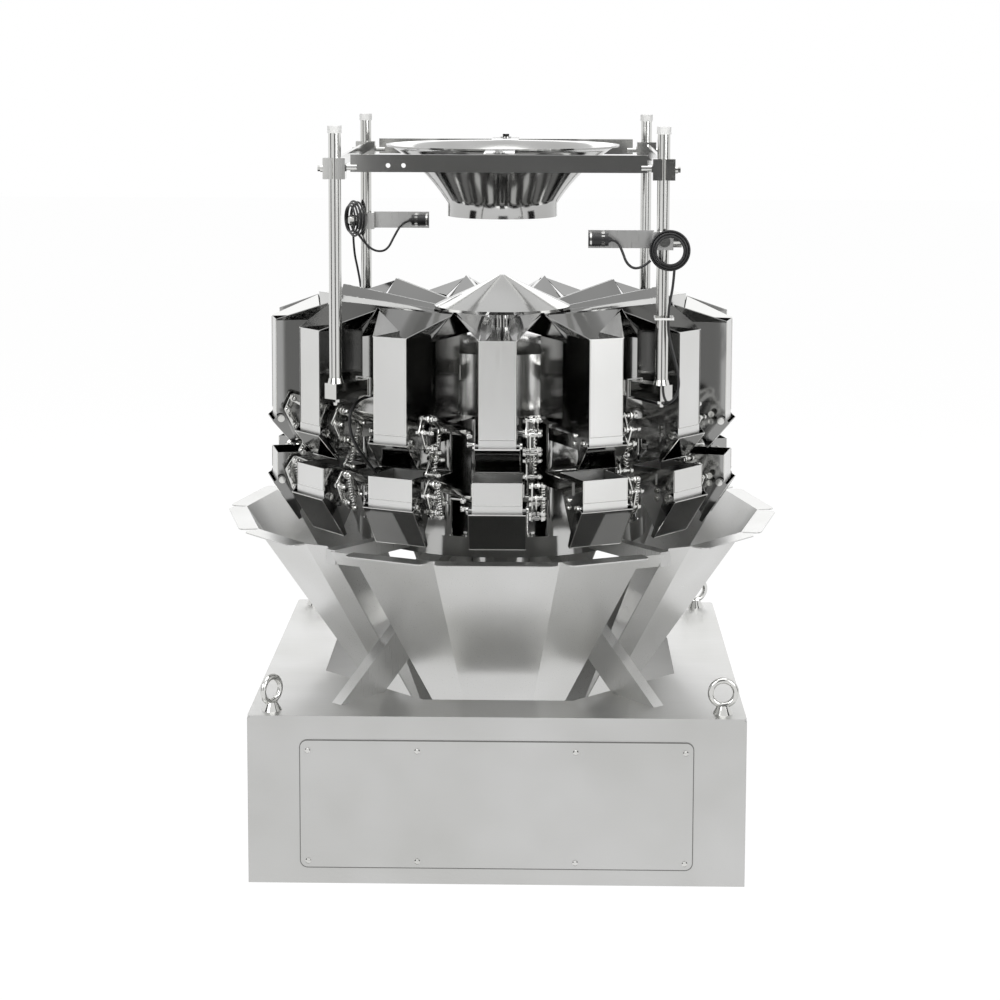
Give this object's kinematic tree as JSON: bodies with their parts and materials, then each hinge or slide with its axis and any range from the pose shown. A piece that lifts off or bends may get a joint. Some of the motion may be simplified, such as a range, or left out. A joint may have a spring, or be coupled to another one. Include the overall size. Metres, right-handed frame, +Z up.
{
  "type": "multihead weigher",
  "caption": "Multihead combination weigher: infeed funnel, dispersion cone and feeder pans above a ring of feed and weigh hoppers with swing gates, chutes and a square base.",
  "frame": {"origin": "on the floor, on the axis of the ring of heads", "axes": "+Z up, -Y towards the front of the machine, +X to the right seen from the front"},
  "size_m": [1.1316, 1.114, 1.446],
  "materials": {
    "satin_stainless": "satin stainless sheet",
    "brushed_stainless": "brushed stainless sheet",
    "polished_stainless": "polished stainless",
    "white_plastic": "moulded cap",
    "black_plastic": "moulded sensor body"
  },
  "bodies": {
    "frame": {"base_top": "satin_stainless", "base_walls": "satin_stainless", "service_covers": "satin_stainless", "eye_bolts": "polished_stainless", "discharge_chute_front": "brushed_stainless", "discharge_chute_right": "brushed_stainless", "discharge_chute_back": "brushed_stainless", "discharge_chute_left": "brushed_stainless", "support_struts": "polished_stainless", "central_body": "brushed_stainless", "vibrator_drum": "polished_stainless", "dispersion_cone": "polished_stainless", "drive_units": "brushed_stainless", "feeder_pans": "polished_stainless", "feed_hoppers": "brushed_stainless", "weigh_hoppers": "brushed_stainless", "hopper_brackets": "brushed_stainless", "frame_arms": "brushed_stainless", "posts": "polished_stainless", "post_caps": "white_plastic", "post_clamps": "brushed_stainless", "top_bars": "brushed_stainless", "infeed_funnel": "polished_stainless", "sensor_arms": "brushed_stainless", "level_sensors": "black_plastic"},
    "feed_gate_01": {"feed_gate_01": "polished_stainless"},
    "feed_gate_02": {"feed_gate_02": "polished_stainless"},
    "feed_gate_03": {"feed_gate_03": "polished_stainless"},
    "feed_gate_04": {"feed_gate_04": "polished_stainless"},
    "feed_gate_05": {"feed_gate_05": "polished_stainless"},
    "feed_gate_06": {"feed_gate_06": "polished_stainless"},
    "feed_gate_07": {"feed_gate_07": "polished_stainless"},
    "feed_gate_08": {"feed_gate_08": "polished_stainless"},
    "feed_gate_09": {"feed_gate_09": "polished_stainless"},
    "feed_gate_10": {"feed_gate_10": "polished_stainless"},
    "feed_gate_11": {"feed_gate_11": "polished_stainless"},
    "feed_gate_12": {"feed_gate_12": "polished_stainless"},
    "feed_gate_13": {"feed_gate_13": "polished_stainless"},
    "feed_gate_14": {"feed_gate_14": "polished_stainless"},
    "weigh_gate_01": {"weigh_gate_01": "polished_stainless"},
    "weigh_gate_02": {"weigh_gate_02": "polished_stainless"},
    "weigh_gate_03": {"weigh_gate_03": "polished_stainless"},
    "weigh_gate_04": {"weigh_gate_04": "polished_stainless"},
    "weigh_gate_05": {"weigh_gate_05": "polished_stainless"},
    "weigh_gate_06": {"weigh_gate_06": "polished_stainless"},
    "weigh_gate_07": {"weigh_gate_07": "polished_stainless"},
    "weigh_gate_08": {"weigh_gate_08": "polished_stainless"},
    "weigh_gate_09": {"weigh_gate_09": "polished_stainless"},
    "weigh_gate_10": {"weigh_gate_10": "polished_stainless"},
    "weigh_gate_11": {"weigh_gate_11": "polished_stainless"},
    "weigh_gate_12": {"weigh_gate_12": "polished_stainless"},
    "weigh_gate_13": {"weigh_gate_13": "polished_stainless"},
    "weigh_gate_14": {"weigh_gate_14": "polished_stainless"}
  },
  "joints": [
    {"name": "feed_gate_01_hinge", "type": "hinge", "parent": "frame", "child": "feed_gate_01", "pos_m": [0, -0.464, 0.849], "axis": [-1, 0, 0], "range_deg": [0, 45], "stiffness_Nm_per_rad": 0.3, "springref_deg": -80.21},
    {"name": "feed_gate_02_hinge", "type": "hinge", "parent": "frame", "child": "feed_gate_02", "pos_m": [0.20132, -0.41805, 0.849], "axis": [-0.901, -0.4339, 0], "range_deg": [0, 45], "stiffness_Nm_per_rad": 0.3, "springref_deg": -80.21},
    {"name": "feed_gate_03_hinge", "type": "hinge", "parent": "frame", "child": "feed_gate_03", "pos_m": [0.36277, -0.2893, 0.849], "axis": [-0.6235, -0.7818, 0], "range_deg": [0, 45], "stiffness_Nm_per_rad": 0.3, "springref_deg": -80.21},
    {"name": "feed_gate_04_hinge", "type": "hinge", "parent": "frame", "child": "feed_gate_04", "pos_m": [0.45237, -0.10325, 0.849], "axis": [-0.2225, -0.9749, 0], "range_deg": [0, 45], "stiffness_Nm_per_rad": 0.3, "springref_deg": -80.21},
    {"name": "feed_gate_05_hinge", "type": "hinge", "parent": "frame", "child": "feed_gate_05", "pos_m": [0.45237, 0.10325, 0.849], "axis": [0.2225, -0.9749, 0], "range_deg": [0, 45], "stiffness_Nm_per_rad": 0.3, "springref_deg": -80.21},
    {"name": "feed_gate_06_hinge", "type": "hinge", "parent": "frame", "child": "feed_gate_06", "pos_m": [0.36277, 0.2893, 0.849], "axis": [0.6235, -0.7818, 0], "range_deg": [0, 45], "stiffness_Nm_per_rad": 0.3, "springref_deg": -80.21},
    {"name": "feed_gate_07_hinge", "type": "hinge", "parent": "frame", "child": "feed_gate_07", "pos_m": [0.20132, 0.41805, 0.849], "axis": [0.901, -0.4339, 0], "range_deg": [0, 45], "stiffness_Nm_per_rad": 0.3, "springref_deg": -80.21},
    {"name": "feed_gate_08_hinge", "type": "hinge", "parent": "frame", "child": "feed_gate_08", "pos_m": [0, 0.464, 0.849], "axis": [1, 0, 0], "range_deg": [0, 45], "stiffness_Nm_per_rad": 0.3, "springref_deg": -80.21},
    {"name": "feed_gate_09_hinge", "type": "hinge", "parent": "frame", "child": "feed_gate_09", "pos_m": [-0.20132, 0.41805, 0.849], "axis": [0.901, 0.4339, 0], "range_deg": [0, 45], "stiffness_Nm_per_rad": 0.3, "springref_deg": -80.21},
    {"name": "feed_gate_10_hinge", "type": "hinge", "parent": "frame", "child": "feed_gate_10", "pos_m": [-0.36277, 0.2893, 0.849], "axis": [0.6235, 0.7818, 0], "range_deg": [0, 45], "stiffness_Nm_per_rad": 0.3, "springref_deg": -80.21},
    {"name": "feed_gate_11_hinge", "type": "hinge", "parent": "frame", "child": "feed_gate_11", "pos_m": [-0.45237, 0.10325, 0.849], "axis": [0.2225, 0.9749, 0], "range_deg": [0, 45], "stiffness_Nm_per_rad": 0.3, "springref_deg": -80.21},
    {"name": "feed_gate_12_hinge", "type": "hinge", "parent": "frame", "child": "feed_gate_12", "pos_m": [-0.45237, -0.10325, 0.849], "axis": [-0.2225, 0.9749, 0], "range_deg": [0, 45], "stiffness_Nm_per_rad": 0.3, "springref_deg": -80.21},
    {"name": "feed_gate_13_hinge", "type": "hinge", "parent": "frame", "child": "feed_gate_13", "pos_m": [-0.36277, -0.2893, 0.849], "axis": [-0.6235, 0.7818, 0], "range_deg": [0, 45], "stiffness_Nm_per_rad": 0.3, "springref_deg": -80.21},
    {"name": "feed_gate_14_hinge", "type": "hinge", "parent": "frame", "child": "feed_gate_14", "pos_m": [-0.20132, -0.41805, 0.849], "axis": [-0.901, 0.4339, 0], "range_deg": [0, 45], "stiffness_Nm_per_rad": 0.3, "springref_deg": -80.21},
    {"name": "weigh_gate_01_hinge", "type": "hinge", "parent": "frame", "child": "weigh_gate_01", "pos_m": [0, -0.464, 0.726], "axis": [-1, 0, 0], "range_deg": [0, 45], "stiffness_Nm_per_rad": 0.3, "springref_deg": -80.21},
    {"name": "weigh_gate_02_hinge", "type": "hinge", "parent": "frame", "child": "weigh_gate_02", "pos_m": [0.20132, -0.41805, 0.726], "axis": [-0.901, -0.4339, 0], "range_deg": [0, 45], "stiffness_Nm_per_rad": 0.3, "springref_deg": -80.21},
    {"name": "weigh_gate_03_hinge", "type": "hinge", "parent": "frame", "child": "weigh_gate_03", "pos_m": [0.36277, -0.2893, 0.726], "axis": [-0.6235, -0.7818, 0], "range_deg": [0, 45], "stiffness_Nm_per_rad": 0.3, "springref_deg": -80.21},
    {"name": "weigh_gate_04_hinge", "type": "hinge", "parent": "frame", "child": "weigh_gate_04", "pos_m": [0.45237, -0.10325, 0.726], "axis": [-0.2225, -0.9749, 0], "range_deg": [0, 45], "stiffness_Nm_per_rad": 0.3, "springref_deg": -80.21},
    {"name": "weigh_gate_05_hinge", "type": "hinge", "parent": "frame", "child": "weigh_gate_05", "pos_m": [0.45237, 0.10325, 0.726], "axis": [0.2225, -0.9749, 0], "range_deg": [0, 45], "stiffness_Nm_per_rad": 0.3, "springref_deg": -80.21},
    {"name": "weigh_gate_06_hinge", "type": "hinge", "parent": "frame", "child": "weigh_gate_06", "pos_m": [0.36277, 0.2893, 0.726], "axis": [0.6235, -0.7818, 0], "range_deg": [0, 45], "stiffness_Nm_per_rad": 0.3, "springref_deg": -80.21},
    {"name": "weigh_gate_07_hinge", "type": "hinge", "parent": "frame", "child": "weigh_gate_07", "pos_m": [0.20132, 0.41805, 0.726], "axis": [0.901, -0.4339, 0], "range_deg": [0, 45], "stiffness_Nm_per_rad": 0.3, "springref_deg": -80.21},
    {"name": "weigh_gate_08_hinge", "type": "hinge", "parent": "frame", "child": "weigh_gate_08", "pos_m": [0, 0.464, 0.726], "axis": [1, 0, 0], "range_deg": [0, 45], "stiffness_Nm_per_rad": 0.3, "springref_deg": -80.21},
    {"name": "weigh_gate_09_hinge", "type": "hinge", "parent": "frame", "child": "weigh_gate_09", "pos_m": [-0.20132, 0.41805, 0.726], "axis": [0.901, 0.4339, 0], "range_deg": [0, 45], "stiffness_Nm_per_rad": 0.3, "springref_deg": -80.21},
    {"name": "weigh_gate_10_hinge", "type": "hinge", "parent": "frame", "child": "weigh_gate_10", "pos_m": [-0.36277, 0.2893, 0.726], "axis": [0.6235, 0.7818, 0], "range_deg": [0, 45], "stiffness_Nm_per_rad": 0.3, "springref_deg": -80.21},
    {"name": "weigh_gate_11_hinge", "type": "hinge", "parent": "frame", "child": "weigh_gate_11", "pos_m": [-0.45237, 0.10325, 0.726], "axis": [0.2225, 0.9749, 0], "range_deg": [0, 45], "stiffness_Nm_per_rad": 0.3, "springref_deg": -80.21},
    {"name": "weigh_gate_12_hinge", "type": "hinge", "parent": "frame", "child": "weigh_gate_12", "pos_m": [-0.45237, -0.10325, 0.726], "axis": [-0.2225, 0.9749, 0], "range_deg": [0, 45], "stiffness_Nm_per_rad": 0.3, "springref_deg": -80.21},
    {"name": "weigh_gate_13_hinge", "type": "hinge", "parent": "frame", "child": "weigh_gate_13", "pos_m": [-0.36277, -0.2893, 0.726], "axis": [-0.6235, 0.7818, 0], "range_deg": [0, 45], "stiffness_Nm_per_rad": 0.3, "springref_deg": -80.21},
    {"name": "weigh_gate_14_hinge", "type": "hinge", "parent": "frame", "child": "weigh_gate_14", "pos_m": [-0.20132, -0.41805, 0.726], "axis": [-0.901, 0.4339, 0], "range_deg": [0, 45], "stiffness_Nm_per_rad": 0.3, "springref_deg": -80.21}
  ]
}
